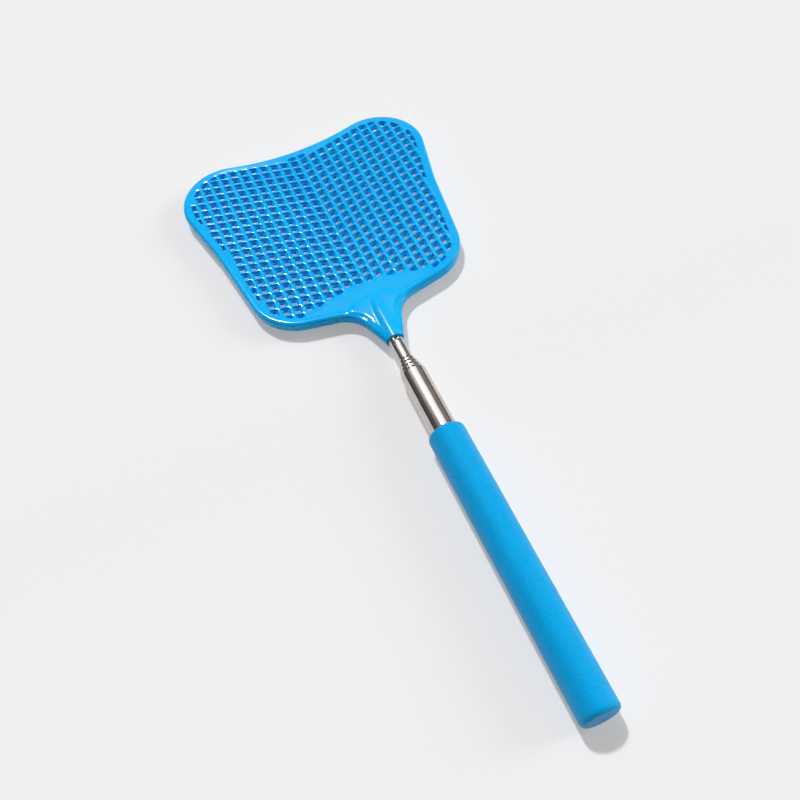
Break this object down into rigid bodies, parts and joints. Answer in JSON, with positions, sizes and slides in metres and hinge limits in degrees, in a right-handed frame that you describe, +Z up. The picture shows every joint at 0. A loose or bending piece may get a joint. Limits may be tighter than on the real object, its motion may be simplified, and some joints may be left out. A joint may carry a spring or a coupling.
{
  "type": "fly swatter",
  "caption": "Hand fly swatter: flat moulded grille head with a rim and socket, a pole of nested tubes that slide and swivel, and a cylindrical soft grip.",
  "frame": {"origin": "centre of the bounding box on the surface that the swatter lies on", "axes": "+Y along the pole from the grip to the head, +X across the head, +Z up out of the grille's top face"},
  "size_m": [0.114, 0.2856, 0.0146],
  "materials": {
    "head_plastic": "glossy azure moulding",
    "tube_metal": "polished nickel plate",
    "shim_bronze": "springy bronze sheet",
    "collar_brass": "turned brass",
    "plug_nylon": "plain black moulding",
    "grip_foam": "matte fine-grained foam"
  },
  "bodies": {
    "grip_body": {"grip_sleeve": "grip_foam", "outer_tube": "tube_metal", "base_plug": "plug_nylon"},
    "fourth_shims": {"fourth_shim_a": "shim_bronze", "fourth_shim_b": "shim_bronze"},
    "fourth_section": {"fourth_tube": "tube_metal", "fourth_collar": "collar_brass"},
    "third_shims": {"third_shim_a": "shim_bronze", "third_shim_b": "shim_bronze"},
    "third_section": {"third_tube": "tube_metal", "third_collar": "collar_brass"},
    "second_shims": {"second_shim_a": "shim_bronze", "second_shim_b": "shim_bronze"},
    "second_section": {"second_tube": "tube_metal", "second_collar": "collar_brass"},
    "tip_shims": {"tip_shim_a": "shim_bronze", "tip_shim_b": "shim_bronze"},
    "head_section": {"tip_tube": "tube_metal", "tip_collar": "collar_brass", "swatter_head": "head_plastic"}
  },
  "joints": [
    {"name": "fourth_slide", "type": "slide", "parent": "grip_body", "child": "fourth_shims", "axis": [0, 1, 0], "range_m": [0, 0.1165]},
    {"name": "fourth_swivel", "type": "hinge", "parent": "fourth_shims", "child": "fourth_section", "pos_m": [0, 0, 0.00728], "axis": [0, 1, 0], "continuous": true},
    {"name": "third_slide", "type": "slide", "parent": "fourth_section", "child": "third_shims", "axis": [0, 1, 0], "range_m": [0, 0.1116]},
    {"name": "third_swivel", "type": "hinge", "parent": "third_shims", "child": "third_section", "pos_m": [0, 0, 0.00728], "axis": [0, 1, 0], "continuous": true},
    {"name": "second_slide", "type": "slide", "parent": "third_section", "child": "second_shims", "axis": [0, 1, 0], "range_m": [0, 0.1067]},
    {"name": "second_swivel", "type": "hinge", "parent": "second_shims", "child": "second_section", "pos_m": [0, 0, 0.00728], "axis": [0, 1, 0], "continuous": true},
    {"name": "tip_slide", "type": "slide", "parent": "second_section", "child": "tip_shims", "axis": [0, 1, 0], "range_m": [0, 0.1018]},
    {"name": "tip_swivel", "type": "hinge", "parent": "tip_shims", "child": "head_section", "pos_m": [0, 0, 0.00728], "axis": [0, 1, 0], "continuous": true}
  ]
}
